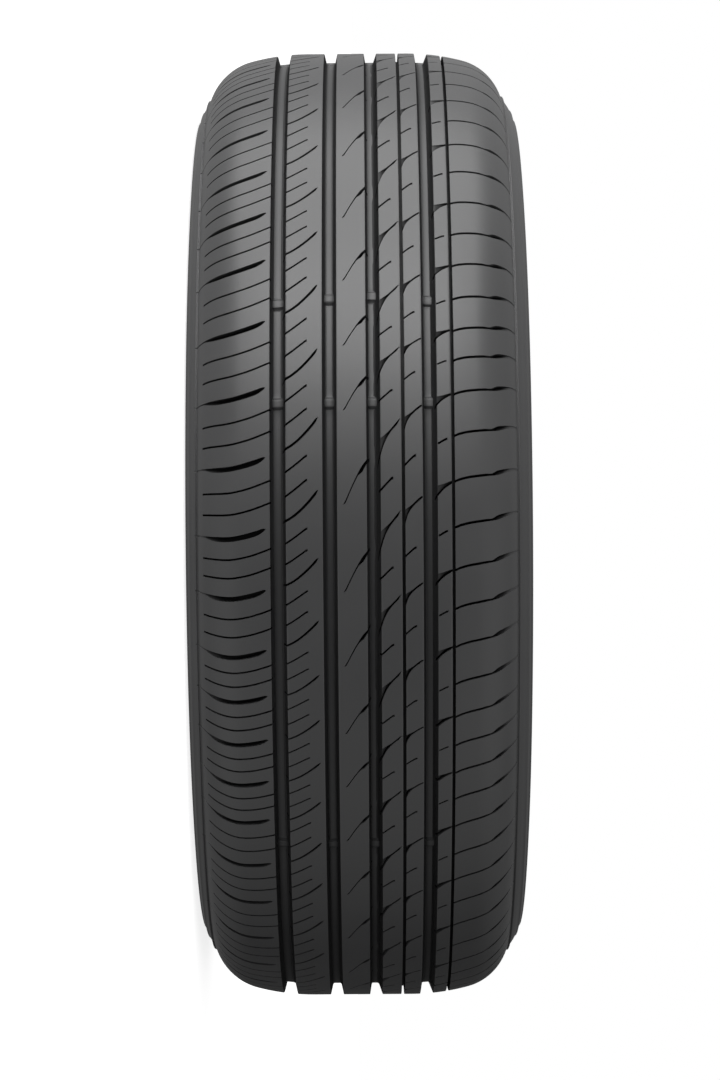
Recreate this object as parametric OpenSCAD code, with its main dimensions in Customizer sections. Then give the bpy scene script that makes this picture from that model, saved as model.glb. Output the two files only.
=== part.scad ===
// A road tyre, moulded in one piece. It lies on one sidewall, with the wheel's axis along +Z
// and the wheel's centre at the origin. Sizes are in millimetres.

/* [Overall] */
// Diameter over the crown of the tread
tyre_d = 632; // [616:1:660]
// Width across the sidewalls at their widest
section_w = 210; // [200:1:225]
// Height of the widest place of the sidewalls above the rim's seat
widest_h = 59.2; // [52:0.1:66]
// Radius of the upper sidewall, from the tread's edge to the widest place
upper_wall_r = 36; // [30:1:44]
// Radius of the lower sidewall, below the widest place
lower_wall_r = 80; // [60:1:120]

/* [Beads] */
// Diameter of the two seats that grip the rim
seat_d = 405.6; // [396:0.1:412]
// Distance between the two bead heels
rim_w = 165; // [155:1:175]
// Width of each bead where it sits on the rim
bead_w = 17; // [14:0.5:20]
// Radius of the bead's heel
heel_r = 6; // [3:0.5:8]
// Chamfer at the bead's toe
toe_cut = 1.5; // [0.5:0.1:3]
// Height of the flat that bears on the rim's flange
flange_h = 13; // [10:0.5:16]
// Height of the rib that guards the rim, above the rim's seat
rim_rib_at = 27.2; // [25:0.1:31]
// How far the rim rib stands out of the sidewall
rim_rib_h = 2.5; // [1:0.1:4]

/* [Walls] */
// Rubber and plies under the crown, measured from the tread surface
crown_t = 15.5; // [14:0.5:20]
// Thickness of the sidewall at its widest place
wall_t = 6.5; // [5:0.1:9]
// Height of the fine ribs round the sidewall
ridge_h = 0.8; // [0.3:0.1:1.5]
// Width of each fine rib at its foot
ridge_w = 1.8; // [1:0.1:3]

/* [Crown] */
// Width of the flat middle of the tread
flat_w = 64; // [50:1:80]
// Radius of the crown beside the flat middle
crown_r = 150; // [130:1:200]
// Distance in from the widest place to where the tread begins to turn down at its shoulders
turn_in = 35; // [30:0.5:40]
// Radius of each shoulder
shoulder_r = 36; // [33:0.5:39]
// Steepest slope of a shoulder
shoulder_slope = 72; // [66:1:78]
// Width of the ledge at each outer edge of the tread
ledge_w = 1.5; // [0.5:0.1:3]
// Drop of that ledge, from its inner to its outer edge
ledge_drop = 0.3; // [0.1:0.1:2]

/* [Grooves] */
// Depth of the four main grooves
groove_depth = 7.6; // [5:0.1:9]
// Centre of the first main groove, from the middle of the tread
groove_1_at = -47.8; // [-50:0.1:-46]
// Width of the first main groove
groove_1_w = 8.4; // [6:0.1:10]
// Centre of the second main groove
groove_2_at = -17.2; // [-19:0.1:-15]
// Width of the second main groove
groove_2_w = 7.6; // [6:0.1:9]
// Centre of the third main groove
groove_3_at = 8.8; // [7:0.1:10]
// Width of the third main groove
groove_3_w = 7.6; // [6:0.1:9]
// Centre of the fourth main groove
groove_4_at = 42.5; // [41:0.1:44]
// Width of the fourth main groove
groove_4_w = 8; // [6:0.1:9]
// Slope of the walls of the main grooves
groove_draft = 14; // [4:1:16]
// Centre of the inner narrow groove
narrow_1_at = 26.5; // [25:0.1:28]
// Centre of the outer narrow groove
narrow_2_at = 56; // [54:0.1:58]
// Width of the narrow grooves
narrow_w = 2; // [1.2:0.1:3]
// Depth of the narrow grooves
narrow_depth = 5.5; // [3:0.1:7]
// Height of the wear bars above the groove floors
wear_bar_h = 1.6; // [1:0.1:2]
// Length of each wear bar round the tread
wear_bar_l = 7; // [4:0.5:12]

/* [Pitches] */
// Length of a medium pitch over that of a short one, on the first shoulder
left_medium = 1.265; // [1:0.005:1.6]
// Length of a long pitch over that of a short one, on the first shoulder
left_long = 1.478; // [1:0.005:1.8]
// Length of a medium pitch over that of a short one, on the second shoulder
right_medium = 1.22; // [1:0.005:1.6]
// Length of a long pitch over that of a short one, on the second shoulder
right_long = 1.435; // [1:0.005:1.8]
// Angle at which the first shoulder's pitches begin
left_start = -153.8; // [-180:0.1:180]
// Angle at which the second shoulder's pitches begin
right_start = -150.35; // [-180:0.1:180]

/* [Slots] */
// Depth of the wide slots in the first shoulder
slot_depth = 5.5; // [3:0.1:7]
// Widest place of those slots
slot_w = 2.9; // [1.5:0.1:4]
// Depth of the narrow slits across the ribs
slit_depth = 5; // [2:0.1:7]
// Width of the narrow slits
slit_w = 1.1; // [0.8:0.1:1.6]
// Depth of the sloping pockets where slits meet a groove
pocket_depth = 3.5; // [1:0.1:5]
// Depth of the outer ends of the slots, on the turn of the shoulder
outer_depth = 3.5; // [1:0.1:5]
// Width of the outer ends of the second shoulder's slots
outer_w = 2; // [1:0.1:3]
// How far short of the tread's edge the outer ends of the slots stop
slot_short = 1; // [0.5:0.1:3]

/* [Hidden] */
$fn = 240;
rubber = [0.16, 0.165, 0.17];
lip = 8; // how far cutters stand out of the tread
overlap = 0.4; // how far added pieces sink into what carries them

// Lengths of the pitches round the tread, anticlockwise seen from +Z: short, medium and long,
// mixed so that the tyre doesn't hum at one note. A letter of the second side is half a pitch.
left_pitches = str("MLLMMLLLLMMSSSSMMLL", "LLMMSSSMMLLLMSSSMMLLLMSSMLLLMSSSLLM");
right_halves = str("LLLLLMMMSSMLLLMMMMSSSSMMMMLL",
    "LMMMSSSMMLLLMMSSMMMLLLLMMMSSMMMLLLMMSSSMMLLLMMSSSSMMMLLL");
// Angles of the wear bars
wear_bar_angles = [-156, -114, -102, -51.4, 9, 71, 129, 172];

tyre_r = tyre_d / 2;
seat_r = seat_d / 2;
widest_z = section_w / 2;
heel_z = rim_w / 2;
toe_z = heel_z - bead_w;

// Heights up the section stretch with the tyre's height from the rim's seat to the crown
drawn_h = 113.2; // the height they are drawn for
height_stretch = (tyre_r - seat_r) / drawn_h;
function high(h) = h * height_stretch;
widest_r = seat_r + high(widest_h);

// The crown: a flat middle, a wide arc and the turn of the shoulder
flat_z = flat_w / 2;
turn_z = widest_z - turn_in;
turn_angle = asin((turn_z - flat_z) / crown_r);
edge_z = turn_z + shoulder_r * (sin(shoulder_slope) - sin(turn_angle));

function crown_drop(z) = crown_r - sqrt(pow(crown_r, 2) - pow(z - flat_z, 2));
function turn_sin(z) = sin(turn_angle) + (z - turn_z) / shoulder_r;
function turn_drop(z) =
    crown_drop(turn_z) + shoulder_r * (cos(turn_angle) - sqrt(1 - pow(turn_sin(z), 2)));
// How far the tread lies below its crown at distance z from the middle, and how steep it is there
function tread_drop(z) = z < flat_z ? 0 : high(z < turn_z ? crown_drop(z) : turn_drop(z));
function drawn_slope(z) = z < turn_z ? asin((z - flat_z) / crown_r) : asin(turn_sin(z));
function tread_slope(z) = z < flat_z ? 0 : atan(high(tan(drawn_slope(z))));
function tread_at(z) = tyre_r - tread_drop(abs(z));

ledge_z = edge_z + ledge_w;
ledge_r = tread_at(edge_z) - high(ledge_drop);
function off_widest(r) = (r - widest_r) / height_stretch;
function arc_z(arc_r, off) = widest_z - arc_r + sqrt(pow(arc_r, 2) - pow(off, 2));
function wall_z(r) = arc_z(r > widest_r ? upper_wall_r : lower_wall_r, off_widest(r));

// Points from one value to another, in n steps
function steps(from, to, n) = [for (i = [0:n]) from + (to - from) * i / n];
function bezier(a, b, c, d, n) =
    [for (t = steps(0, 1, n))
        pow(1 - t, 3) * a + 3 * pow(1 - t, 2) * t * b + 3 * (1 - t) * pow(t, 2) * c + pow(t, 3) * d];
function reversed(list) = [for (i = [len(list) - 1:-1:0]) list[i]];
function mirrored(points) = [for (p = reversed(points)) [p[0], -p[1]]];

// One half of the section, as [radius, z] points from the crown's middle to the bead's heel
rim_rib_r = seat_r + high(rim_rib_at);
rib_foot = high(5); // reach of the rim rib to each side of its tip
rib_tip = high(1.5); // half the width of that tip
turn_steps = [for (i = [1:6]) turn_angle + (shoulder_slope - turn_angle) * i / 6];
turn_zs = [for (a = turn_steps) turn_z + shoulder_r * (sin(a) - sin(turn_angle))];
crown_points = [for (z = concat(steps(flat_z, turn_z, 3), turn_zs)) [tread_at(z), z]];
wall_from_r = min(ledge_r, widest_r + high(upper_wall_r * 0.66));
lower_from_r = widest_r - high(4);
wall_rs = concat(steps(wall_from_r, widest_r, 6), steps(lower_from_r, rim_rib_r + rib_foot, 4));
wall_points = [for (r = wall_rs) [r, wall_z(r)]];
rib_points = [
    [rim_rib_r + rib_tip, wall_z(rim_rib_r) + rim_rib_h],
    [rim_rib_r - rib_tip, wall_z(rim_rib_r) + rim_rib_h],
    [rim_rib_r - rib_foot, wall_z(rim_rib_r) - 2]];
function flange_point(h, out) = [seat_r + high(flange_h + h), heel_z + out];
flange_points = bezier(flange_point(8, 9), flange_point(4, 4), flange_point(0, 0.5),
    flange_point(-4, 0), 5);
heel_points = [for (a = steps(0, 90, 6))
    [seat_r + high(heel_r * (1 - sin(a))), heel_z - heel_r * (1 - cos(a))]];
outer_half = concat(crown_points, [[ledge_r, ledge_z]], wall_points, rib_points,
    flange_points, heel_points);

// The same half inside, from the bead's toe back to the middle of the inner liner
liner_r = tyre_r - crown_t;
liner_z = widest_z - wall_t;
toe_points = [
    [seat_r, toe_z + toe_cut],
    [seat_r + high(toe_cut), toe_z],
    [seat_r + high(8), toe_z]];
lower_liner = bezier([seat_r + high(12), toe_z + 0.5], [seat_r + high(24), toe_z + 4],
    [widest_r - high(24), liner_z], [widest_r, liner_z], 9);
upper_bend_r = widest_r + (liner_r - widest_r) * 0.78;
upper_liner = bezier([widest_r, liner_z], [upper_bend_r, liner_z],
    [liner_r, liner_z * 0.63], [liner_r, 0], 12);
inner_half = concat(toe_points, lower_liner, [for (i = [1:len(upper_liner) - 1]) upper_liner[i]]);
half = concat(outer_half, inner_half);

// The whole section: both halves, the second without the liner's middle point again
module section() {
    polygon(concat(half, [for (i = [1:len(half) - 1]) mirrored(half)[i]]));
    for (h = [14, -8, -14])
        ridge_pair(widest_r + high(h));
}

// A fine rib round each sidewall, sunk into it by a little
module ridge_pair(r) {
    for (side = [-1, 1])
        polygon([
            [r - ridge_w / 2, side * (wall_z(r - ridge_w / 2) - overlap)],
            [r - ridge_w / 5, side * (wall_z(r) + ridge_h)],
            [r + ridge_w / 5, side * (wall_z(r) + ridge_h)],
            [r + ridge_w / 2, side * (wall_z(r + ridge_w / 2) - overlap)]]);
}

// Section of a groove round the tread, wider at the top by the draft of its walls
module groove(z, top_w, depth, draft) {
    floor_r = tread_at(z) - depth;
    round = min(1, top_w / 4);
    floor_w = top_w - 2 * depth * tan(draft);
    rise = (lip + depth) * tan(draft);
    polygon([
        [floor_r, z - floor_w / 2 + round],
        [floor_r, z + floor_w / 2 - round],
        [floor_r + round, z + floor_w / 2 + round * tan(draft)],
        [tread_at(z) + lip, z + floor_w / 2 + rise],
        [tread_at(z) + lip, z - floor_w / 2 - rise],
        [floor_r + round, z - floor_w / 2 - round * tan(draft)]]);
}

main_grooves = [
    [groove_1_at, groove_1_w],
    [groove_2_at, groove_2_w],
    [groove_3_at, groove_3_w],
    [groove_4_at, groove_4_w]];

module body() {
    color(rubber)
    rotate_extrude()
    difference() {
        section();
        for (g = main_grooves)
            groove(g[0], g[1], groove_depth, groove_draft);
        for (z = [narrow_1_at, narrow_2_at])
            groove(z, narrow_w, narrow_depth, 0);
    }
}

// Low bars across the main grooves that come level with the tread when it is worn out
module wear_bars() {
    bar_angle = angle_of(wear_bar_l);
    color(rubber)
    for (a = wear_bar_angles)
        for (g = main_grooves)
            rotate([0, 0, a - bar_angle / 2])
            rotate_extrude(angle = bar_angle)
            wear_bar_section(g[0], g[1]);
}

module wear_bar_section(z, w) {
    floor_r = tread_at(z) - groove_depth;
    half_w = w / 2 - groove_depth * tan(groove_draft) + wear_bar_h * tan(groove_draft) + overlap;
    translate([floor_r - overlap, z - half_w])
    square([wear_bar_h + overlap, 2 * half_w]);
}

// Where each pitch of a row begins and how long it is, as [angle, length in mm at the crown]
function weight(letter, medium, long) = letter == "S" ? 1 : letter == "M" ? medium : long;
function weights(row, medium, long) = [for (c = row) weight(c, medium, long)];
function sum(list, n) = n == 0 ? 0 : list[n - 1] + sum(list, n - 1);
function pitches(row, medium, long, start) =
    let (w = weights(row, medium, long), all = sum(w, len(w)))
    [for (i = [0:len(w) - 1])
        [start + 360 * sum(w, i) / all, 2 * PI * tyre_r * w[i] / all]];
left_row = pitches(left_pitches, left_medium, left_long, left_start);

// The cuts' shapes are drawn for pitches of these lengths, and stretch with the pitch
left_drawn = 42;
right_drawn = 46;
function angle_of(length) = length / tyre_r * 180 / PI;

// How far round the tread the n'th half pitch of the second side begins, where n may be a fraction
half_weights = weights(right_halves, right_medium, right_long);
half_count = len(half_weights);
half_ends = [for (i = [0:half_count]) sum(half_weights, i)];
function round_share(n) =
    n < 0 ? round_share(n + half_count) - 1
    : n >= half_count ? round_share(n - half_count) + 1
    : (half_ends[floor(n)] + (n - floor(n)) * half_weights[floor(n)]) / half_ends[half_count];
function right_angle(n) = right_start + 360 * round_share(n);
function right_stretch(n) =
    2 * PI * tyre_r * (round_share(n + 1) - round_share(n - 1)) / right_drawn;

// Cuts are drawn on the tread unrolled, as [z, s] points, with s running clockwise seen from +Z.
// Each is pushed into the tread square to its surface at distance z0 from the middle.
module cut(points, z0, depth) {
    side = sign(z0);
    tilt = side * tread_slope(abs(z0));
    translate([tread_at(z0), 0, z0])
    rotate([0, -tilt, 0])
    rotate(a = 180, v = [1, 0, 1])
    translate([0, 0, -depth])
    linear_extrude(depth + lip)
    polygon([for (p = points) [(p[0] - z0) / cos(tilt), p[1]]]);
}

// An outline from a middle line of [z, s, width] points
function band(line) = concat(
    [for (p = line) [p[0], p[1] - p[2] / 2]],
    [for (p = reversed(line)) [p[0], p[1] + p[2] / 2]]);

// The edges of the ribs between the grooves
rib_1_to = groove_1_at - groove_1_w / 2;
rib_2_from = groove_1_at + groove_1_w / 2;
rib_2_to = groove_2_at - groove_2_w / 2;
rib_3_from = groove_2_at + groove_2_w / 2;
rib_3_to = groove_3_at - groove_3_w / 2;
rib_4_from = groove_3_at + groove_3_w / 2;
rib_4_to = narrow_1_at - narrow_w / 2;
rib_5_from = narrow_1_at + narrow_w / 2;
rib_5_to = groove_4_at - groove_4_w / 2;
rib_6_from = groove_4_at + groove_4_w / 2;
rib_7_from = narrow_2_at + narrow_w / 2;
into = 1; // how far a cut that opens into a groove runs past the groove's edge

// The first shoulder's wide slots bow as a parabola does, and stop short of the groove
bow_z = -turn_z - 9;
bow = 0.0135;
slot_end = edge_z - slot_short;
function bowed(z) = bow * pow(z - bow_z, 2);
slot_to = rib_1_to - 3.4;
module left_slots() {
    join = bow_z - 3;
    inner = [for (z = steps(join - 1, slot_to - 4, 2)) [z, bowed(z), slot_w]];
    tip = [[slot_to, bowed(slot_to), 0.4]];
    outer = [for (z = steps(join + 1, -slot_end, 2))
        [z, bowed(z), slot_w * (0.3 + 0.7 * (z + slot_end) / (join + 1 + slot_end))]];
    for (p = left_row)
        rotate([0, 0, p[0]]) {
            cut(band(concat(inner, tip)), (join + slot_to) / 2, slot_depth);
            cut(band(outer), join - 6, outer_depth);
        }
}

// Long slits rise across the second rib, one to a pitch, and stop inside it
module rib_2_slits() {
    reach = rib_2_to - rib_2_from - 3.2;
    for (p = left_row) {
        k = p[1] / left_drawn;
        line = [for (d = steps(-into, reach, 3))
            [rib_2_from + d, k * (0.45 * d + 0.0255 * d * abs(d)), d < reach ? slit_w : 0.5]];
        rotate([0, 0, p[0] + angle_of(0.75 * p[1])])
        cut(band(line), rib_2_from + 8, slit_depth);
    }
}

// Each pitch of the second side is one flowing line, cut into pieces by the grooves. The pieces
// lie at these shares of a pitch after the line's outer end.
centre_share = 0.862;
rib_4_share = 0.432;
rib_5_share = 0.252;
rib_6_share = 0.02;
module flowing_cuts() {
    for (i = [0:half_count / 2 - 1]) {
        n = 2 * i + 0.5;
        turned(n + 2 * centre_share) centre_hook(right_stretch(n + 2 * centre_share));
        turned(n + 2 * rib_4_share) rib_4_hook(right_stretch(n + 2 * rib_4_share));
        turned(n + 2 * rib_5_share) rib_5_hook(right_stretch(n + 2 * rib_5_share));
        turned(n + 2 * rib_6_share) rib_6_ramp(right_stretch(n + 2 * rib_6_share));
        turned(n) right_slot();
        turned(n + 1) right_slot();
    }
}

module turned(n) {
    rotate([0, 0, right_angle(n)])
    children();
}

module centre_hook(k) {
    bend = rib_3_to - 5;
    cut([[bend - 8, -18.9 * k], [bend - 8, -19.8 * k], [bend, -5.1 * k], [bend + 2.2, -3.8 * k],
        [rib_3_to + into, 1.2 * k], [rib_3_to + into, 3 * k], [bend, -3.9 * k]],
        rib_3_to - 2, slit_depth);
}

module rib_4_hook(k) {
    tip = rib_4_from + 5;
    cut([[rib_4_from - into, -19 * k], [rib_4_from - into, -7.9 * k], [tip - 1, -4.3 * k],
        [tip, -4.9 * k], [rib_4_from + 2.4, -10.6 * k]], rib_4_from + 3, pocket_depth);
    cut(band([[rib_4_from + 2, -9 * k, slit_w], [tip, -4.4 * k, slit_w],
        [rib_4_to - 1.5, 2.4 * k, slit_w * 0.6]]), tip, slit_depth);
}

module rib_5_hook(k) {
    tip = rib_5_from + 4;
    cut([[rib_5_from - into, -14 * k], [rib_5_from - into, -5 * k], [tip, -2.3 * k],
        [rib_5_from + 1.8, -6.5 * k]], rib_5_from + 2, pocket_depth);
    cut(band([[rib_5_from + 1.6, -6 * k, slit_w], [tip, -2.8 * k, slit_w],
        [rib_5_to - 1.7, 1.6 * k, slit_w * 0.6]]), tip, slit_depth);
}

module rib_6_ramp(k) {
    cut(band([[rib_6_from - into, -7.2 * k, 5], [rib_6_from + 3.4, -4.2 * k, 3],
        [rib_7_from - narrow_w, -1.9, 1.6]]), rib_6_from + 4, pocket_depth);
}

// The second shoulder's slots are narrow at first, then step aside and widen on the turn
step_at = turn_z + 10;
module right_slot() {
    cut(band([[rib_7_from - into, -1.7, 1.3], [rib_7_from + 8, -0.1, 1.3],
        [step_at + 1, 2, 1.3]]), (rib_7_from + step_at) / 2, slot_depth);
    cut(band([[step_at, 2.5, outer_w], [step_at + 6, 3.9, outer_w],
        [slot_end, 5.8, outer_w * 0.8]]), step_at + 7, outer_depth);
}

module tyre() {
    color(rubber)
    difference() {
        union() {
            body();
            wear_bars();
        }
        left_slots();
        rib_2_slits();
        flowing_cuts();
    }
}

tyre();
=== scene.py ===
import math

import bpy
import numpy as np
from mathutils import Matrix, Vector


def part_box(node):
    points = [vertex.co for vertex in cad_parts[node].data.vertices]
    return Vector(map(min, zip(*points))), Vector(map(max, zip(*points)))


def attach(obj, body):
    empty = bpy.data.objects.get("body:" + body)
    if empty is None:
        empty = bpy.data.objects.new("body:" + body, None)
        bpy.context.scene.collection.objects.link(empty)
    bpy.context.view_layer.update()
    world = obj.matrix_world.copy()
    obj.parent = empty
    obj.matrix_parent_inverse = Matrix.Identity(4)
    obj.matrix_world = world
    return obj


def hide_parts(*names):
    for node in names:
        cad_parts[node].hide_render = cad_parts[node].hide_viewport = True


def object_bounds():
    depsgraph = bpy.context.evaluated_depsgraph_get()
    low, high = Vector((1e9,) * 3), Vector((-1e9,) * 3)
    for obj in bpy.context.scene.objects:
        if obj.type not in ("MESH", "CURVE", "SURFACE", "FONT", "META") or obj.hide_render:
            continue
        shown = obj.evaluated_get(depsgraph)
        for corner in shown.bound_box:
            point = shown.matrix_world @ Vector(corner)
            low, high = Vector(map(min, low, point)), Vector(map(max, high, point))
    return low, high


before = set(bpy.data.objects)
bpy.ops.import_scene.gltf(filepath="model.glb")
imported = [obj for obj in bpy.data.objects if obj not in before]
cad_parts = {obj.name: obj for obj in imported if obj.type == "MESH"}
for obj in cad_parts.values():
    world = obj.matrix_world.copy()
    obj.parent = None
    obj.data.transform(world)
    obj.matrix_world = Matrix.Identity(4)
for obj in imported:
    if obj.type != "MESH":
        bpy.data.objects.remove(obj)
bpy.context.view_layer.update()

# The tyre lies on one sidewall with its axis along +Z. Shapes are worked out in millimetres
# and turned into metres when a mesh is made. "z" is the place across the tread, "around" is
# the length round the crown, anticlockwise seen from +Z, and the radius is from the axis.
mm = 0.001
low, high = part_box("tyre")
crownR = round((high.x - low.x) / 2 / mm, 1)

# How finely the pieces are made: columns across a rib in millimetres, rows round the carcass in
# degrees, rows over a wear bar, and the angle from which an edge is drawn sharp
detail = dict(across=1.25, rows=1.6, barRows=13, sharpFrom=32.0)

# The crown's section: a flat middle, a wide arc and a shoulder, down to its steepest slope in
# degrees. The first shoulder turns a little wider than the second, and ends further out
crown = dict(flat=32.0, wideR=150.0, turnFrom=70.0, leftTurnR=38.5, turnR=36.0, steepest=72.0)
# Four main grooves and two narrow ones, with their places and widths across the tread
grooves = dict(
    depth=7.6,
    at=[-47.8, -17.2, 8.8, 42.5],
    width=[8.4, 7.6, 7.6, 8.0],
    narrowAt=[26.5, 56.0],
    narrowWidth=1.6,
    narrowDepth=5.5,
)
ledge = dict(width=1.5, drop=0.3)

# Pitches of three lengths, short, medium and long, are mixed round the tread. A pitch of the
# second side has two letters, one for each slot of its shoulder. "medium" and "long" are lengths
# over that of a short one, "start" is the angle at which a row begins, and "drawn" the length of
# pitch that its cuts are drawn for. A pitch's cuts lie from "middle" letters after its beginning
leftPitches = dict(
    row="MLLMMLLLLMMSSSSMMLL" + "LLMMSSSMMLLLMSSSMMLLLMSSMLLLMSSSLLM",
    letters=1, middle=0.0, medium=1.265, long=1.478, start=-153.8, drawn=42.0)
rightPitches = dict(
    row="LLLLLMMMSSMLLLMMMMSSSSMMMMLL" + "LMMMSSSMMLLLMMSSMMMLLLLMMMSSMMMLLLMMSSSMMLLLMMSSSSMMMLLL",
    letters=2, middle=0.5, medium=1.22, long=1.435, start=-150.35, drawn=46.0)
# Bars across the main grooves, each with its angle in every groove
wearBars = dict(
    angles=[(-172,) * 4, (-114.5, -115.0, -115.3, -114.75), (-102.6,) * 4, (-50.1,) * 4,
            (9,) * 4, (71,) * 4, (129,) * 4, (172,) * 4],
    height=1.6, length=8.5, ramp=2.2)


def shoulderSines():
    # sines of the slope where the shoulder begins and where it ends
    return ((crown["turnFrom"] - crown["flat"]) / crown["wideR"],
            math.sin(math.radians(crown["steepest"])))


def treadDrop(z):
    # how far the tread lies below its crown: nothing in the middle, then r - sqrt(r2 - x2) of
    # the wide arc, then the same of the shoulder, told by the sine of its slope
    firstSin, lastSin = shoulderSines()
    turnR = np.where(np.asarray(z) < 0, crown["leftTurnR"], crown["turnR"])
    z = np.abs(z)
    offFlat = np.clip(z, crown["flat"], crown["turnFrom"]) - crown["flat"]
    wide = crown["wideR"] - np.sqrt(crown["wideR"] ** 2 - offFlat ** 2)
    sinHere = firstSin + np.clip(z - crown["turnFrom"], 0, None) / turnR
    sinHere = np.minimum(sinHere, lastSin)
    turn = turnR * (math.sqrt(1 - firstSin ** 2) - np.sqrt(1 - sinHere ** 2))
    return wide + turn


def edgeZ(side):
    # where the tread ends, on the side of the given sign
    firstSin, lastSin = shoulderSines()
    turnR = crown["leftTurnR"] if side < 0 else crown["turnR"]
    return side * (crown["turnFrom"] + turnR * (lastSin - firstSin))


def pitchPlaces(spec, share):
    # where each pitch has the given share of itself, and how long the tread's pitch is there,
    # both in millimetres round the crown: the letters' lengths are summed and looked up
    size = dict(S=1.0, M=spec["medium"], L=spec["long"])
    lengths = np.array([size[letter] for letter in spec["row"]])
    count, whole = len(lengths), 2 * math.pi * crownR
    ends = np.concatenate([[0], np.cumsum(lengths)]) / lengths.sum()

    def along(place):
        return (np.interp(place % count, np.arange(count + 1), ends) + place // count) * whole

    half = spec["letters"] / 2
    places = (np.arange(count // spec["letters"]) + share) * spec["letters"] + spec["middle"]
    start = math.radians(spec["start"]) * crownR
    return start + along(places), along(places + half) - along(places - half)


def smoothThrough(z, places, values):
    # cubic Hermite curve through a few points, its slopes taken from their neighbours
    places, values = np.asarray(places, float), np.asarray(values, float)
    slopes = np.gradient(values, places)
    i = np.clip(np.searchsorted(places, z) - 1, 0, len(places) - 2)
    gap = places[i + 1] - places[i]
    t = np.clip((z - places[i]) / gap, 0, 1)
    return ((2 * t ** 3 - 3 * t ** 2 + 1) * values[i] + (t ** 3 - 2 * t ** 2 + t) * gap * slopes[i]
            + (3 * t ** 2 - 2 * t ** 3) * values[i + 1] + (t ** 3 - t ** 2) * gap * slopes[i + 1])


def ringMesh(name, around, z, r, paintedShade):
    # a closed ring: rows run round the axis and columns round the section, and both wrap.
    # x = r cos(angle), y = r sin(angle), with angle = around / crownR. The last argument is painted
    # shade for the material, kept as a mesh attribute: 0 on open surfaces, up to 1 deep in a narrow
    # cut
    rows, cols = np.broadcast_shapes(around.shape, z.shape, r.shape)
    angle = np.broadcast_to(around / crownR, (rows, cols))
    radius = np.broadcast_to(r, (rows, cols)) * mm
    height = np.broadcast_to(z, (rows, cols)) * mm
    points = np.stack([radius * np.cos(angle), radius * np.sin(angle), height], -1)
    first = np.arange(rows * cols).reshape(rows, cols)
    nextRow, nextCol = np.roll(first, -1, 0), np.roll(first, -1, 1)
    both = np.roll(nextRow, -1, 1)
    faces = np.stack([first, nextRow, both, nextCol], -1).reshape(-1, 4)
    flat = points.reshape(-1, 3)
    a, b, c, d = (flat[faces[:, k]] for k in range(4))
    volume = np.einsum("ij,ij->", a, np.cross(b, c)) + np.einsum("ij,ij->", a, np.cross(c, d))
    if volume < 0:
        faces = faces[:, ::-1]
    mesh = bpy.data.meshes.new(name)
    mesh.from_pydata(flat.tolist(), [], faces.tolist())
    mesh.polygons.foreach_set("use_smooth", np.ones(len(faces), bool))
    mesh.set_sharp_from_angle(angle=math.radians(detail["sharpFrom"]))
    shade = np.broadcast_to(paintedShade, (rows, cols)).ravel().astype(np.float32)
    mesh.attributes.new("paintedShade", "FLOAT", "POINT").data.foreach_set("value", shade)
    mesh.update()
    piece = bpy.data.objects.new(name, mesh)
    bpy.context.collection.objects.link(piece)
    print("made", name, "with", 2 * len(faces), "triangles")
    return piece


# Cuts across the ribs. Each has places across the tread, its two edges there (millimetres
# round the tread, against "around"), and how deep it is beside each edge. "share" is where it
# lies in its pitch, "follows" whether it stretches with the pitch, "slope" how far its walls
# lean in, and "darkest" the most painted shade that it gets. A cut with a "facet" is a shallow
# slope of that share of the depth, with at least the painted shade given for the facet, and a
# narrow slit along its lower edge. cutForm is for all of them: the least width, the most of it
# that an inset, a slit or a lip takes, the depths over which a cut's painted shade grows to full,
# and the step over which a slope is measured
cutForm = dict(leastWidth=0.08, mostInset=0.25, mostSlit=0.6, lip=0.15, mostLip=0.1,
               shadeFrom=0.5, shadeOver=2.5, slopeStep=0.1)
wideSlot = dict(
    share=0.0, follows=False, slope=0.12, darkest=0.8,
    z=[-98.2, -92, -90.5, -87, -83, -80, -75, -70, -65, -60, -57.6, -56.3, -55.7],
    top=[2.3, 1.9, 1.8, 1.6, 1.5, 1.45, 1.8, 2.75, 4.05, 5.5, 6.3, 6.6, 6.4],
    bottom=[1.2, 0.8, 0.2, -1.1, -1.65, -1.7, -1.35, -0.5, 0.7, 2.4, 3.8, 4.9, 6.0],
    deepTop=[0.7, 1.2, 2.2, 3.4, 4.4, 5.2, 5.6, 5.6, 5.6, 5.6, 5.6, 4.5, 0],
    deepBottom=[0.6, 0.9, 1.2, 1.7, 2.3, 3.0, 4.4, 5.6, 5.6, 5.6, 5.6, 4.5, 0],
)


def sipe(share, places, middle, width=1.25, depth=4.2, follows=False, openAt=None):
    # a fine cut of even width along a middle line, which runs on a little at both ends and
    # closes there, unless it opens into a groove
    end = 0.35
    z = [places[0] - end] + list(places) + [places[-1] + end]
    first = (middle[1] - middle[0]) / (places[1] - places[0]) * end
    last = (middle[-1] - middle[-2]) / (places[-1] - places[-2]) * end
    line = np.array([middle[0] - first] + list(middle) + [middle[-1] + last])
    half = np.full(len(z), width / 2)
    deep = np.full(len(z), float(depth))
    deep[0] = depth if openAt in ("start", "both") else 0
    deep[-1] = depth if openAt in ("end", "both") else 0
    return dict(share=share, follows=follows, slope=0.08, z=z, top=line + half, bottom=line - half,
                deepTop=deep, deepBottom=deep)


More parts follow.
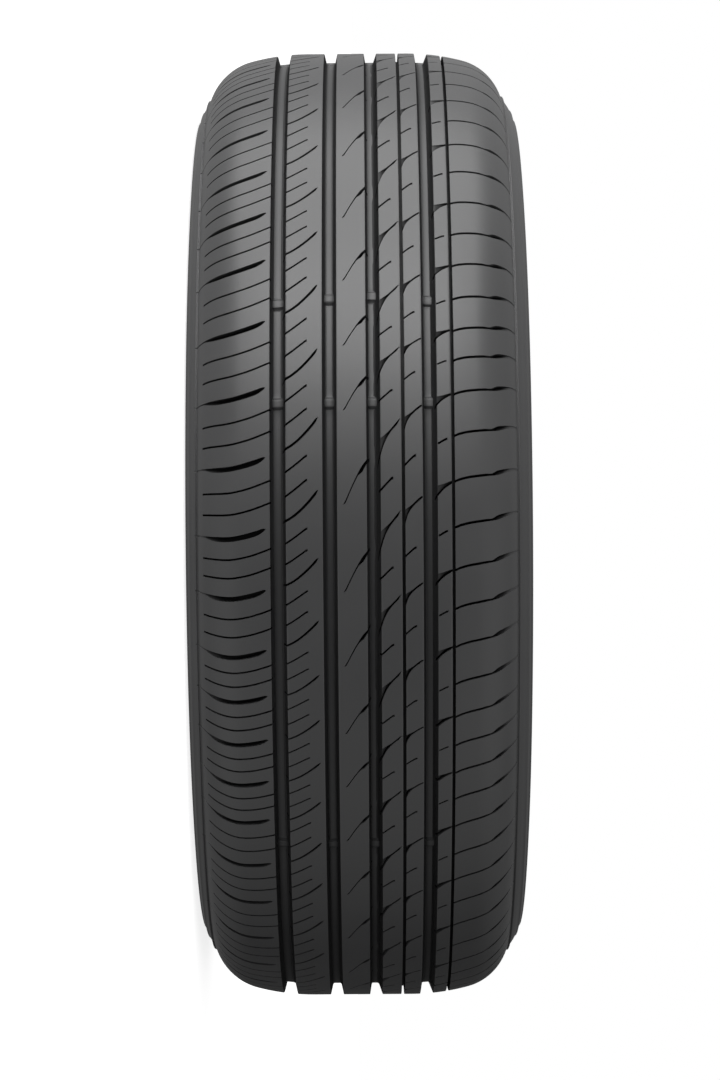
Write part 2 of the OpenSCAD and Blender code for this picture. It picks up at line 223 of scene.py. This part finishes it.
shoulderSipe = dict(places=[-92, -86, -80, -75, -70, -65, -60, -56, -52.3],
                    middle=[0.45, 0.15, 0.0, 0.35, 1.3, 2.55, 4.2, 5.7, 7.15])
longSlit = dict(
    share=0.75, follows=True, slope=0.08,
    z=[-45, -43.6, -40, -36, -32, -28, -25.4, -24.6, -24.1],
    top=[0.2, 1.0, 3.1, 6.3, 10.3, 14.9, 18.2, 19.0, 19.1],
    bottom=[-1.6, -0.8, 1.3, 4.3, 8.1, 12.5, 15.8, 17.1, 18.7],
    deepTop=[5, 5, 5, 5, 5, 5, 4.5, 3, 0],
    deepBottom=[5, 5, 5, 5, 5, 5, 4.5, 3, 0],
)
shortSlit = dict(places=[-43.4, -40, -36, -31.2], middle=[0.4, 2.8, 5.9, 9.85], width=1.5)
centreHook = dict(
    share=0.862, follows=True, slope=0.08,
    z=[-8.7, -8.3, -6, -4, -2, 0, 2, 3.5, 5.3, 6.5],
    top=[-19.5, -18.6, -14.1, -10.3, -6.8, -3.5, -0.5, 1.1, 3.0, 4.2],
    bottom=[-20.2, -19.8, -15.5, -11.7, -8.2, -5.2, -3.9, -1.7, 1.0, 2.4],
    deepTop=[0, 4.5, 5, 5, 5, 5, 5, 5, 5, 5],
    deepBottom=[0, 4.5, 5, 5, 5, 5, 5, 5, 5, 5],
)
hookA = dict(
    share=0.432, follows=True, slope=0.08, facet=0.25, paintedFacetShade=0.5, slit=0.75,
    z=[11, 12.6, 13.6, 15, 16.5, 18, 19, 21, 23.7, 24.2],
    top=[-9.0, -7.4, -6.7, -5.6, -4.4, -3.2, -2.2, -0.1, 2.8, 3.3],
    bottom=[-24, -17.5, -14.2, -10.4, -7.5, -5.2, -3.9, -1.7, 1.3, 2.3],
    deepTop=[0.2, 0.2, 0.25, 0.35, 0.9, 3.2, 4.5, 4.5, 4.5, 0],
    deepBottom=[4.5, 4.5, 4.5, 4.5, 4.5, 4.5, 4.5, 4.5, 4.5, 0],
)
hookB = dict(
    share=0.252, follows=True, slope=0.08, facet=0.25, paintedFacetShade=0.5, slit=0.75,
    z=[26, 27.3, 28.2, 29.5, 31, 32.2, 34.5, 36.6, 37.1],
    top=[-5.9, -4.7, -4.1, -3.3, -2.4, -1.5, 0.4, 1.8, 2.2],
    bottom=[-16, -11.9, -8.8, -6.1, -4.1, -3.0, -1.0, 0.5, 1.2],
    deepTop=[0.2, 0.2, 0.3, 0.5, 1.5, 4.2, 4.5, 4.5, 0],
    deepBottom=[4.5, 4.5, 4.5, 4.5, 4.5, 4.5, 4.5, 4.5, 0],
)
rampCut = dict(
    share=0.02, follows=True, slope=0.08, facet=0.25, paintedFacetShade=0.5, slit=1.15,
    z=[45, 46.5, 48, 50, 53, 55.2, 57],
    top=[-4.2, -3.5, -3.1, -2.6, -1.6, -1.0, -0.5],
    bottom=[-11.4, -9.0, -7.4, -5.5, -3.6, -2.4, -1.9],
    deepTop=[0.3, 0.3, 0.4, 0.6, 1.2, 2.4, 3.5],
    deepBottom=[4.8, 4.8, 4.8, 4.8, 4.8, 4.8, 4.8],
)
outerSlot = dict(
    share=0.0, follows=False, slope=0.1,
    z=[55, 57, 60, 62.5, 65.5, 70, 75, 79.6, 80.8, 82, 85, 88, 90, 94.2, 95.2],
    top=[-2.6, -1.85, -0.6, 0.1, 0.8, 1.5, 2.25, 2.9, 3.7, 4.5, 5.5, 6.3, 6.8, 7.6, 7.7],
    bottom=[-4.2, -3.45, -2.2, -1.5, -0.8, -0.1, 0.65, 1.3, 1.5, 1.7, 2.8, 4.05, 4.8, 6.1, 6.3],
    deepTop=[5, 5, 5, 5, 5, 5, 5, 4.8, 3.8, 3.6, 3.2, 1.7, 0.9, 0.7, 0.6],
    deepBottom=[5, 5, 5, 5, 5, 5, 5, 4.6, 2.8, 2.5, 2.1, 1.1, 0.7, 0.6, 0.5],
)

# The ribs between the grooves: their edges at the tread, how far each wall leans out on its way
# down, the rows between two cuts, and the cuts
ribs = [
    dict(name="tread_left_shoulder", edges=(None, -52.6), walls=(0, 2.0), pitches=leftPitches,
         steps=3, cuts=[wideSlot, sipe(0.345, **shoulderSipe, openAt="end"),
                        sipe(0.655, **shoulderSipe, openAt="end")]),
    dict(name="tread_rib_2", edges=(-43.1, -21.4), walls=(1.7, 1.7), pitches=leftPitches,
         steps=3, cuts=[longSlit, sipe(0.077, **shortSlit, follows=True, openAt="start"),
                        sipe(0.414, **shortSlit, follows=True, openAt="start")]),
    dict(name="tread_centre_rib", edges=(-12.8, 4.7), walls=(1.7, 1.2), pitches=rightPitches,
         steps=7, cuts=[centreHook]),
    dict(name="tread_rib_4", edges=(13.0, 25.4), walls=(2.6, 0.15), pitches=rightPitches,
         steps=4, cuts=[hookA, sipe(0.95, [12.8, 16, 19.2], [-8.9, -6.0, -3.1], width=1.5,
                                    follows=True, openAt="start")]),
    dict(name="tread_rib_5", edges=(27.4, 37.9), walls=(0.15, 1.2), pitches=rightPitches,
         steps=4, cuts=[hookB, sipe(0.82, [27.6, 30, 32.8], [-2.1, 0, 2.2], width=1.4,
                                    follows=True, openAt="start")]),
    dict(name="tread_rib_6", edges=(46.6, 54.95), walls=(3.0, 0.15), pitches=rightPitches,
         steps=4, cuts=[rampCut, sipe(0.612, [47.6, 49.6, 51.6], [-1.0, 0.1, 1.1], follows=True)]),
    dict(name="tread_right_shoulder", edges=(56.85, None), walls=(0.15, 0), pitches=rightPitches,
         steps=5, cuts=[outerSlot, dict(outerSlot, share=0.5)]),
]


# What all ribs have: how deep their hidden underside lies, the fillet at the groove floors, the
# bevel along their edges and its slope, and how far out the underside reaches
ribForm = dict(under=10.5, fillet=1.3, bevel=0.25, bevelSlope=0.6, underReach=78.0)


def ribSection(rib):
    # columns across one rib, as place across the tread, radius and painted shade: up the first
    # wall, across the top, down the second wall and back below
    left, right = rib["edges"]
    start = edgeZ(-1) if left is None else left
    stop = edgeZ(1) if right is None else right
    count = max(int(round((stop - start) / detail["across"])), 6)
    top = np.linspace(start, stop, count + 1)
    bevel = ribForm["bevel"]
    if left is not None:
        top = np.concatenate([[start, start + bevel], top[1:]])
    if right is not None:
        top = np.concatenate([top[:-1], [stop - bevel, stop]])
    # the painted shade of each column starts at none on the top
    z, down, paintedDark = list(top), [0.0] * len(top), [0.0] * len(top)
    if left is not None:
        down[0] = bevel * ribForm["bevelSlope"]
        wallOut, wallDown = grooveWall(rib["walls"][0])
        z = list(start - wallOut) + z
        down = list(wallDown) + down
        paintedDark = wallShade(rib["walls"][0], wallDown) + paintedDark
    if right is not None:
        down[-1] = bevel * ribForm["bevelSlope"]
        wallOut, wallDown = grooveWall(rib["walls"][1])
        z += list(stop + wallOut[::-1])
        down += list(wallDown[::-1])
        paintedDark += wallShade(rib["walls"][1], wallDown[::-1])
    z, down, paintedShade = np.array(z), np.array(down), np.array(paintedDark)
    radius = crownR - treadDrop(np.clip(z, start, stop)) - down
    if left is None:
        z, radius, paintedShade = withLedge(z, radius, paintedShade, -1)
    if right is None:
        z, radius, paintedShade = withLedge(z[::-1], radius[::-1], paintedShade[::-1], 1)
        z, radius, paintedShade = z[::-1], radius[::-1], paintedShade[::-1]
    underZ = np.clip(np.linspace(z[-1], z[0], 6)[1:-1], -ribForm["underReach"],
                     ribForm["underReach"])
    underR = crownR - treadDrop(underZ) - ribForm["under"]
    paintedShade = np.concatenate([paintedShade, np.zeros(len(underZ))])
    return np.concatenate([z, underZ]), np.concatenate([radius, underR]), paintedShade, len(z)


def grooveWall(run):
    # from under the groove's floor, round its bottom corner and up its wall, as distance out
    # from the rib's edge and depth
    heights = np.array([1.04, 1.0, 0.985, 0.93, 0.82, 0.6, 0.4, 0.2, 0.06])
    out = run * heights
    corner = min(ribForm["fillet"], 0.5 * run + 0.1)
    out[:4] += corner * np.array([1.3, 1.0, 0.45, 0.1])
    return out, grooves["depth"] * heights


# Painted shade in the grooves: a narrow groove's, a main groove's walls at four depths, its floor
# in the middle, what is added beside the walls, how steeply, and what a wear bar adds
grooveShade = dict(
    narrow=0.75, narrowRun=0.5, depths=[0, 0.5, 3, 8], walls=[0, 0.8, 0.72, 0.5],
    floor=0.12, besideWalls=0.5, steepness=2.9, bar=0.2)


def wallShade(run, down):
    # painted shade on a groove's wall. An upright wall belongs to a narrow groove. The others get
    # the darkest painted shade just under the rib's edge, and a little less towards the floor
    if run < grooveShade["narrowRun"]:
        return list(grooveShade["narrow"] * np.clip(down / 0.5, 0, 1))
    return list(np.interp(down, grooveShade["depths"], grooveShade["walls"]))


def withLedge(z, radius, paintedShade, side):
    # the ledge at the tread's outer edge, set off by a fine groove, and turned back under the
    # sidewall: each point is a place, a radius and a painted shade, which darkens the fine groove
    edge = edgeZ(side)
    edgeR = crownR - float(treadDrop(edge))
    tip, tipR = edge + side * ledge["width"], edgeR - ledge["drop"]
    out = np.array([
        (edge - side * 3.0, edgeR - 9.0, 0), (edge + side * 0.2, edgeR - 6.0, 0),
        (tip - side * 0.5, tipR - 1.6, 0), (tip - side * 0.1, tipR - 0.6, 0),
        (tip, tipR - 0.2, 0), (tip - side * 0.2, tipR, 0), (edge + side * 0.9, edgeR - 0.2, 0),
        (edge + side * 0.4, edgeR - 0.4, 0.12), (edge - side * 0.3, edgeR - 0.2, 0.08)])
    return tuple(np.concatenate([out[:, k], kept]) for k, kept in enumerate((z, radius, paintedShade)))


def cutRows(cut, z, pitches):
    # rows for a cut in every pitch: its upper edge, the edges of its floor, and its lower edge,
    # as where they lie, how deep they are, and their painted shade
    at, lengths = pitchPlaces(pitches, cut["share"])
    at, stretch = at[:, None], np.ones((len(lengths), 1))
    if cut["follows"]:
        stretch = (lengths / pitches["drawn"])[:, None]
    outside = (z < cut["z"][0]) | (z > cut["z"][-1])
    top = at - stretch * smoothThrough(z, cut["z"], cut["top"])
    bottom = at - stretch * smoothThrough(z, cut["z"], cut["bottom"])
    width = np.maximum(bottom - top, cutForm["leastWidth"])
    middle = (top + bottom) / 2
    top, bottom = middle - width / 2, middle + width / 2
    deepTop = np.where(outside, 0, np.interp(z, cut["z"], cut["deepTop"]))
    deepBottom = np.where(outside, 0, np.interp(z, cut["z"], cut["deepBottom"]))
    inset = np.minimum(cut["slope"], cutForm["mostInset"] * width)
    flat = np.zeros_like(z)
    # painted shade on the cut's floor, growing with its depth up to "darkest"
    darkest = cut.get("darkest", 1.0)
    shadeTop, shadeBottom = (
        np.clip((deep - cutForm["shadeFrom"]) / cutForm["shadeOver"], 0, darkest)
        for deep in (deepTop, deepBottom))
    if cut.get("facet"):
        # the slit keeps its width square to its own run, so it is wider round the tread where
        # that run is steep
        step = cutForm["slopeStep"]
        ahead, behind = (smoothThrough(z + off, cut["z"], cut["bottom"]) for off in (step, -step))
        run = np.sqrt(1 + ((ahead - behind) / (2 * step)) ** 2)
        slit = np.minimum(cut["slit"] * run, cutForm["mostSlit"] * width)
        lip = np.minimum(cutForm["lip"], cutForm["mostLip"] * width)
        shallow = deepTop + (deepBottom - deepTop) * cut["facet"]
        rows = np.stack([top, top + inset, bottom - slit - lip, bottom - slit, bottom - inset,
                         bottom], 1)
        deep = np.stack([flat, deepTop, shallow, deepBottom, deepBottom, flat], 0)
        paintedFacetShade = np.where(outside, 0, np.maximum(shadeTop, cut["paintedFacetShade"]))
        shade = np.stack([flat, paintedFacetShade, paintedFacetShade, shadeBottom, shadeBottom, flat], 0)
    else:
        rows = np.stack([top, top + inset, bottom - inset, bottom], 1)
        deep = np.stack([flat, deepTop, deepBottom, flat], 0)
        shade = np.stack([flat, shadeTop, shadeBottom, flat], 0)
    return rows, np.broadcast_to(deep, rows.shape), np.broadcast_to(shade, rows.shape)


def makeRib(rib):
    # rows of the cuts in turn, with plain rows between one cut and the next
    z, radius, paintedShade, outerCount = ribSection(rib)
    cuts = sorted(rib["cuts"], key=lambda cut: cut["share"])
    made = [cutRows(cut, z, rib["pitches"]) for cut in cuts]
    around, deep, shade = [], [], []
    for k, (rows, depth, dark) in enumerate(made):
        if k + 1 < len(made):
            following = made[k + 1][0][:, 0]
        else:
            following = np.roll(made[0][0][:, 0], -1, 0)
            following[-1] += 2 * math.pi * crownR
        share = (np.arange(1, rib["steps"] + 1) / (rib["steps"] + 1))[None, :, None]
        between = rows[:, -1][:, None] * (1 - share) + following[:, None] * share
        around += [rows, between]
        deep += [depth, np.zeros_like(between)]
        shade += [dark, np.zeros_like(between)]
    around = np.concatenate(around, 1).reshape(-1, len(z))
    deep, shade = (np.concatenate(part, 1).reshape(-1, len(z)) for part in (deep, shade))
    floorR = crownR - treadDrop(z) - deep
    cut = np.minimum(radius[None, :], floorR)
    cut[:, outerCount:] = radius[outerCount:]
    return ringMesh(rib["name"], around, z[None, :], cut,
                    np.maximum(paintedShade[None, :], shade))


# The carcass: inner liner, beads, sidewalls and the floors of the grooves. Radii are from the
# axis, and "shoulderShare" is how far up its arc a sidewall goes where the tread ends
wall = dict(
    widest=262.0, halfWidth=105.0, upperR=36.0, lowerR=80.0, thickness=6.5,
    seatR=202.8, heelZ=82.5, beadWidth=17.0, heelR=6.0, toeCut=1.5, flangeHeight=13.0,
    rimRibR=230.0, rimRibHeight=2.5, rimRibFoot=5.0, crownThickness=15.5,
    ridges=[277.5, 271.0, 254.0, 248.0], ridgeHeights=[0.5, 0.5, 0.8, 0.8], ridgeWidth=1.8,
    shoulderShare=0.66,
)
# The grooves' floors: how far across they reach, the columns over all of that and over one main
# groove, half the width that belongs to a groove of each kind, and where they sink below the
# tread's edges
floors = dict(reach=90.0, columns=37, mainColumns=7, mainHalf=6.0, narrowHalf=2.5, sinkFrom=84.0,
              sinkOver=6.0, sink=5.0)


def wallZ(r):
    # the sidewall's place at a radius: two arcs that meet at the widest place
    bend = np.where(r > wall["widest"], wall["upperR"], wall["lowerR"])
    inside = np.clip(bend ** 2 - (r - wall["widest"]) ** 2, 0, None)
    return wall["halfWidth"] - bend + np.sqrt(inside)


def bezier(a, b, c, d, count):
    # points along a cubic curve with the ends a and d and the handles b and c
    t = np.linspace(0, 1, count)[:, None]
    a, b, c, d = (np.array(p, float) for p in (a, b, c, d))
    return (1 - t) ** 3 * a + 3 * (1 - t) ** 2 * t * b + 3 * (1 - t) * t ** 2 * c + t ** 3 * d


def halfSection():
    # one side's section, as radius and place: from the shoulder down the outside to the bead,
    # and back up the inner liner to the middle
    ledgeR = crownR - float(treadDrop(edgeZ(1))) - ledge["drop"]
    fromR = min(ledgeR, wall["widest"] + wall["upperR"] * wall["shoulderShare"])
    ribR, foot = wall["rimRibR"], wall["rimRibFoot"]
    radii = np.arange(fromR, ribR + foot, -2.5)
    halfRidge = wall["ridgeWidth"] / 2
    for r in wall["ridges"]:
        radii = np.concatenate([radii, r + np.array([-1.0, -0.5, -0.2, 0.2, 0.5, 1.0]) * halfRidge])
    radii = np.unique(np.round(radii, 3))[::-1]
    height = np.zeros(len(radii))
    for r, most in zip(wall["ridges"], wall["ridgeHeights"]):
        # a fine rib with sloping flanks, flat over a fifth of its width
        off = np.abs(radii - r) / halfRidge
        height = np.maximum(height, most * np.clip(1.25 - 1.25 * off, 0, 1))
    outside = np.stack([radii, wallZ(radii) + height], 1)
    ribZ = float(wallZ(np.array(ribR))) + wall["rimRibHeight"]
    rimRib = np.concatenate([
        bezier((ribR + foot, wallZ(np.array(ribR + foot))), (ribR + 3, ribZ - 1.6),
               (ribR + 2.4, ribZ), (ribR + 1.2, ribZ), 5)[1:],
        bezier((ribR - 1.2, ribZ), (ribR - 2.6, ribZ), (ribR - 3.2, ribZ - 2),
               (ribR - foot, ribZ - 4.5), 5)])
    flangeR = wall["seatR"] + wall["flangeHeight"]
    flange = bezier((flangeR + 8, wall["heelZ"] + 9), (flangeR + 4, wall["heelZ"] + 4),
                    (flangeR, wall["heelZ"] + 0.5), (flangeR - 4, wall["heelZ"]), 9)
    turn = np.radians(np.linspace(0, 90, 9))
    heel = np.stack([wall["seatR"] + wall["heelR"] * (1 - np.sin(turn)),
                     wall["heelZ"] - wall["heelR"] * (1 - np.cos(turn))], 1)
    toeZ = wall["heelZ"] - wall["beadWidth"]
    toe = np.array([[wall["seatR"], toeZ + wall["toeCut"]],
                    [wall["seatR"] + wall["toeCut"], toeZ], [wall["seatR"] + 8, toeZ]])
    linerZ = wall["halfWidth"] - wall["thickness"]
    lower = bezier((wall["seatR"] + 12, toeZ + 0.5), (wall["seatR"] + 24, toeZ + 4),
                   (wall["widest"] - 24, linerZ), (wall["widest"], linerZ), 15)
    linerR = crownR - wall["crownThickness"]
    upper = bezier((wall["widest"], linerZ), (wall["widest"] + 30, linerZ),
                   (linerR, linerZ * 0.63), (linerR, 0), 20)[1:]
    return np.concatenate([outside, rimRib, flange, heel, toe, lower, upper])


def makeCarcass():
    # the section revolved: both halves, then the groove floors across to where it began
    half = halfSection()
    other = half[::-1][1:] * [1, -1]
    z = np.concatenate([np.linspace(-floors["reach"], floors["reach"], floors["columns"])]
                       + [at + np.linspace(-0.5, 0.5, floors["mainColumns"]) * width
                          for at, width in zip(grooves["at"], grooves["width"])]
                       + [at + np.array([-0.5, 0, 0.5]) * grooves["narrowWidth"]
                          for at in grooves["narrowAt"]])
    z = np.unique(np.round(z, 2))
    narrow = np.zeros(len(z), bool)
    for at in grooves["narrowAt"]:
        narrow |= np.abs(z - at) < floors["narrowHalf"]
    down = np.where(narrow, grooves["narrowDepth"], grooves["depth"])
    down = down + floors["sink"] * np.clip(
        (np.abs(z) - floors["sinkFrom"]) / floors["sinkOver"], 0, 1)
    tread = np.stack([crownR - treadDrop(z) - down, z], 1)
    section = np.concatenate([half, other, tread])
    # rows all round, closer together over the wear bars
    around = np.arange(0, 360, detail["rows"])
    halfBar = math.degrees(wearBars["length"] / crownR) / 2
    for spots in wearBars["angles"]:
        over = np.linspace(min(spots) - 1.1 * halfBar, max(spots) + 1.1 * halfBar,
                           detail["barRows"])
        around = np.concatenate([around, over % 360])
    around = np.unique(np.round(around, 4))
    first = len(half) + len(other)
    bump, floorShade = np.zeros((len(around), len(section))), np.zeros(len(section))
    for k, (at, width) in enumerate(zip(grooves["at"], grooves["width"])):
        # painted shade on the floor, darker beside its walls; the bars rise on a smooth ramp at
        # both ends
        off = np.abs(tread[:, 1] - at)
        inside = off < floors["mainHalf"]
        beside = np.clip(off / width * grooveShade["steepness"], 0, 1) ** 2
        floorShade[first:] += np.where(
            inside, grooveShade["floor"] + grooveShade["besideWalls"] * beside, 0)
        spots = np.array([spot[k] for spot in wearBars["angles"]])
        away = np.abs((around[:, None] - spots + 180) % 360 - 180) / halfBar
        rise = np.clip((1 - away.min(1)) * wearBars["length"] / 2 / wearBars["ramp"], 0, 1)
        bump[:, first:] += np.outer(rise * rise * (3 - 2 * rise), inside)
    radius = section[None, :, 0] + wearBars["height"] * bump
    rows = np.radians(around)[:, None] * crownR
    # painted shade for the material: on the narrow grooves' floors, and on the main grooves'
    # floors, a little darker over the wear bars
    paintedShade = np.concatenate([np.zeros(first), grooveShade["narrow"] * narrow])[None, :]
    paintedShade = paintedShade + floorShade[None, :] * (1 + grooveShade["bar"] * bump)
    return ringMesh("carcass", rows, section[None, :, 1], radius, paintedShade)


class Link:
    # a shader socket that takes part in sums: each operator adds its own Math node

    def __init__(self, tree, socket):
        self.tree, self.socket = tree, socket

    def math(self, operation, *others):
        node = self.tree.nodes.new("ShaderNodeMath")
        node.operation = operation
        for k, value in enumerate((self,) + others):
            if isinstance(value, Link):
                self.tree.links.new(value.socket, node.inputs[k])
            else:
                node.inputs[k].default_value = value
        return Link(self.tree, node.outputs[0])

    def __add__(self, other):
        return self.math("ADD", other)

    def __mul__(self, other):
        return self.math("MULTIPLY", other)

    def __sub__(self, other):
        return self.math("SUBTRACT", other)

    def __rsub__(self, other):
        return self.math("MULTIPLY", -1.0).math("ADD", other)

    __radd__, __rmul__ = __add__, __mul__

    def clip(self):
        return self.math("MAXIMUM", 0.0).math("MINIMUM", 1.0)


class Shader:
    # one material's node tree, with a method that adds any node

    def __init__(self, name):
        self.material = bpy.data.materials.new(name)
        self.material.use_nodes = True
        self.tree = self.material.node_tree
        self.tree.nodes.clear()

    @classmethod
    def around(cls, tree):
        # the same methods for a tree that is there already
        made = cls.__new__(cls)
        made.tree = tree
        tree.nodes.clear()
        return made

    def node(self, kind, settings=None, inputs=None, output=0):
        made = self.tree.nodes.new(kind)
        for key, value in (settings or {}).items():
            setattr(made, key, value)
        for key, value in (inputs or {}).items():
            if isinstance(value, Link):
                self.tree.links.new(value.socket, made.inputs[key])
            else:
                made.inputs[key].default_value = value
        return Link(self.tree, made.outputs[output]) if len(made.outputs) else None

    def blend(self, share, first, second):
        # two colours mixed by a number that changes over the surface
        inputs = {0: share}
        for key, value in ((6, first), (7, second)):
            inputs[key] = value if isinstance(value, Link) else tuple(value) + (1,)
        return self.node("ShaderNodeMix", {"data_type": "RGBA"}, inputs, 2)


# The rubber's own colours, roughness and grain; the last three are the almost black colour,
# roughness and IOR of the painted shade in cuts and grooves
rubberLook = dict(
    dark=(0.040, 0.0402, 0.041), pale=(0.052, 0.0522, 0.053), roughness=0.42, ior=1.5,
    mottleScale=14.0, mottleRough=0.12, grainScale=900.0, grainRough=0.10, grainBump=0.12,
    grainDepth=0.0002, paintedDark=(0.006, 0.006, 0.0062), paintedDarkRoughness=0.9, paintedDarkIor=1.1,
)


def rubberMaterial(name, look):
    # cured rubber: nearly black, satin, with a fine grain and faint broad mottling
    sh = Shader(name)
    place = sh.node("ShaderNodeTexCoord", output=3)
    broad = sh.node("ShaderNodeTexNoise", {},
                    {"Vector": place, "Scale": look["mottleScale"], "Detail": 3.0})
    fine = sh.node("ShaderNodeTexNoise", {},
                   {"Vector": place, "Scale": look["grainScale"], "Detail": 2.0})
    # the painted shade that the pieces carry
    paintedShade = sh.node("ShaderNodeAttribute", {"attribute_name": "paintedShade"}, output=2)
    tone = sh.blend(broad, look["dark"], look["pale"])
    roughness = (look["roughness"] + (broad - 0.5) * look["mottleRough"]
                 + (fine - 0.5) * look["grainRough"])
    bump = sh.node("ShaderNodeBump", {}, {
        "Strength": look["grainBump"], "Distance": look["grainDepth"], "Height": fine})
    skin = sh.node("ShaderNodeBsdfPrincipled", {}, {
        "Base Color": tone, "Roughness": roughness, "Normal": bump, "IOR": look["ior"]})
    # painted shade: where the attribute is set, the colour turns almost black and dull, standing in
    # for the shade deep in a cut
    paintedDark = sh.node("ShaderNodeBsdfPrincipled", {}, {
        "Base Color": look["paintedDark"] + (1,), "Roughness": look["paintedDarkRoughness"],
        "IOR": look["paintedDarkIor"]})
    surface = sh.node("ShaderNodeMixShader", {}, {0: paintedShade.clip(), 1: skin, 2: paintedDark})
    sh.node("ShaderNodeOutputMaterial", {}, {"Surface": surface})
    return sh.material


rubber = rubberMaterial("rubber", rubberLook)
pieces = [makeRib(rib) for rib in ribs] + [makeCarcass()]
for piece in pieces:
    piece.data.materials.append(rubber)
    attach(piece, "root")
    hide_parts("tyre")
print("the tyre stands in", len(pieces), "pieces")

# The studio: a white ground that keeps the tyre's shadow, and a white surround. The picture's
# down is +X, away from the camera is +Y and its right is +Z. The pairs of numbers say where a
# zone of the surround's light begins and ends: direction * first + second, kept in 0 to 1
studio = dict(
    floorShade=0.75, floorGlow=0.80, halfFloor=30.0,
    fillHigh=0.48, fillLow=0.52, lowZone=(2.0, 0.5),
    fillBehind=0.03, belowZone=(1.5, 0.4), behindZone=(2.0, 0.35),
    fillAhead=0.1, aheadZone=(-3.5, -2.2),
    sideGlow=0.36, sideZone=(2.0, -0.6), sideLowZone=(2.0, -0.1))


def groundMaterial():
    # only the camera sees the ground: a white glow, with the light and shadow it catches
    sh = Shader("white_ground")
    camera = sh.node("ShaderNodeLightPath", output=0)
    diffuse = sh.node("ShaderNodeBsdfDiffuse", {}, {
        "Color": (studio["floorShade"],) * 3 + (1,)})
    glow = sh.node("ShaderNodeEmission", {}, {
        "Color": (1, 1, 1, 1), "Strength": studio["floorGlow"]})
    seen = sh.node("ShaderNodeAddShader", {}, {0: diffuse, 1: glow})
    clear = sh.node("ShaderNodeBsdfTransparent")
    mixed = sh.node("ShaderNodeMixShader", {}, {0: camera, 1: clear, 2: seen})
    sh.node("ShaderNodeOutputMaterial", {}, {"Surface": mixed})
    return sh.material


def makeFloor():
    # one flat square that meets the sidewall on which the tyre lies
    half, level = studio["halfFloor"], min(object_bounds()[0].z, low.z)
    corners = [(-half, -half), (half, -half), (half, half), (-half, half)]
    mesh = bpy.data.meshes.new("ground")
    mesh.from_pydata([(x, y, level) for x, y in corners], [], [(0, 1, 2, 3)])
    ground = bpy.data.objects.new("ground", mesh)
    bpy.context.collection.objects.link(ground)
    mesh.materials.append(groundMaterial())


def makeWorld():
    # white to the camera. For light, a soft fill that fades out low behind the tyre and round
    # the camera, with a glow low on both sides
    world = bpy.data.worlds.new("studio")
    bpy.context.scene.world = world
    world.use_nodes = True
    sh = Shader.around(world.node_tree)
    camera = sh.node("ShaderNodeLightPath", output=0)
    direction = sh.node("ShaderNodeTexCoord", output=0)
    down = sh.node("ShaderNodeSeparateXYZ", {}, {0: direction})
    away, sideways = (Link(sh.tree, down.socket.node.outputs[k]) for k in (1, 2))

    def zone(link, name):
        slope, offset = studio[name]
        return (link * slope + offset).clip()

    dim = zone(down, "belowZone") * zone(away, "behindZone")
    fill = zone(down, "lowZone") * (studio["fillLow"] - studio["fillHigh"]) + studio["fillHigh"]
    fill = fill * (1 - dim * (1 - studio["fillBehind"] / studio["fillLow"]))
    fill = fill * (1 - zone(away, "aheadZone") * (1 - studio["fillAhead"]))
    glow = zone(sideways.math("ABSOLUTE"), "sideZone") * zone(down, "sideLowZone")
    strength = camera + (1 - camera) * (fill + glow * studio["sideGlow"])
    back = sh.node("ShaderNodeBackground", {}, {"Color": (1, 1, 1, 1), "Strength": strength})
    sh.node("ShaderNodeOutputWorld", {}, {"Surface": back})


# Three soft boxes, placed in metres to the picture's right, up it, and from the tyre towards
# the camera, each with its size in metres and its power in watts. All face the tyre's middle
lamps = [
    dict(name="top_box", right=0.0, up=2.6, near=0.5, size=(2.6, 3.4), power=84.0),
    dict(name="front_top_box", right=0.0, up=2.04, near=2.06, size=(1.3, 3.0), power=66.0),
    dict(name="front_box", right=0.0, up=1.1, near=2.6, size=(0.7, 3.0), power=7.0),
]


def inWorld(right, up, near):
    # the picture's directions turned into the frame's
    return Vector((-up, -near, right))


def makeLamps():
    for spec in lamps:
        data = bpy.data.lights.new(spec["name"], "AREA")
        data.shape = "RECTANGLE"
        data.size, data.size_y = spec["size"]
        data.energy = spec["power"]
        lamp = bpy.data.objects.new(spec["name"], data)
        lamp.location = inWorld(spec["right"], spec["up"], spec["near"])
        lamp.rotation_mode = "QUATERNION"
        lamp.rotation_quaternion = (-lamp.location).to_track_quat("-Z", "Y")
        lamp.visible_camera = False
        bpy.context.collection.objects.link(lamp)


# The photograph's camera, worked out from the ellipses of the tread's edges: angles in degrees,
# distance in metres, focal length and the shift of the centre in the picture's own pixels
shot = dict(turn=0.10495, rise=-0.8365, distance=2.4079, roll=-0.4025, focal=3552.0,
            picture=(720, 1080), centreShift=-16.03)


def makeCamera():
    turn, rise, roll = (math.radians(shot[k]) for k in ("turn", "rise", "roll"))
    # picture axes: x to the right, y away from the camera, z up the picture
    back = Vector((math.sin(turn) * math.cos(rise), -math.cos(turn) * math.cos(rise),
                   math.sin(rise)))
    right = Vector((math.cos(turn), math.sin(turn), 0))
    up = right.cross(-back)
    rolledRight = right * math.cos(roll) + up * math.sin(roll)
    rolledUp = up * math.cos(roll) - right * math.sin(roll)
    axes = [inWorld(v.x, v.z, -v.y) for v in (rolledRight, rolledUp, back)]
    data = bpy.data.cameras.new("photo_camera")
    data.sensor_width = 36.0
    longSide = max(shot["picture"])
    data.lens = shot["focal"] / longSide * data.sensor_width
    data.shift_y = shot["centreShift"] / longSide
    data.clip_start, data.clip_end = 0.05, 100.0
    camera = bpy.data.objects.new("photo_camera", data)
    camera.matrix_world = Matrix.Translation(axes[2] * shot["distance"]) @ Matrix(
        [[axes[c][r] for c in range(3)] for r in range(3)]).to_4x4()
    bpy.context.collection.objects.link(camera)
    bpy.context.scene.camera = camera


makeFloor()
makeWorld()
makeLamps()
makeCamera()
bpy.context.scene.view_settings.view_transform = "Standard"
print("the studio is set")
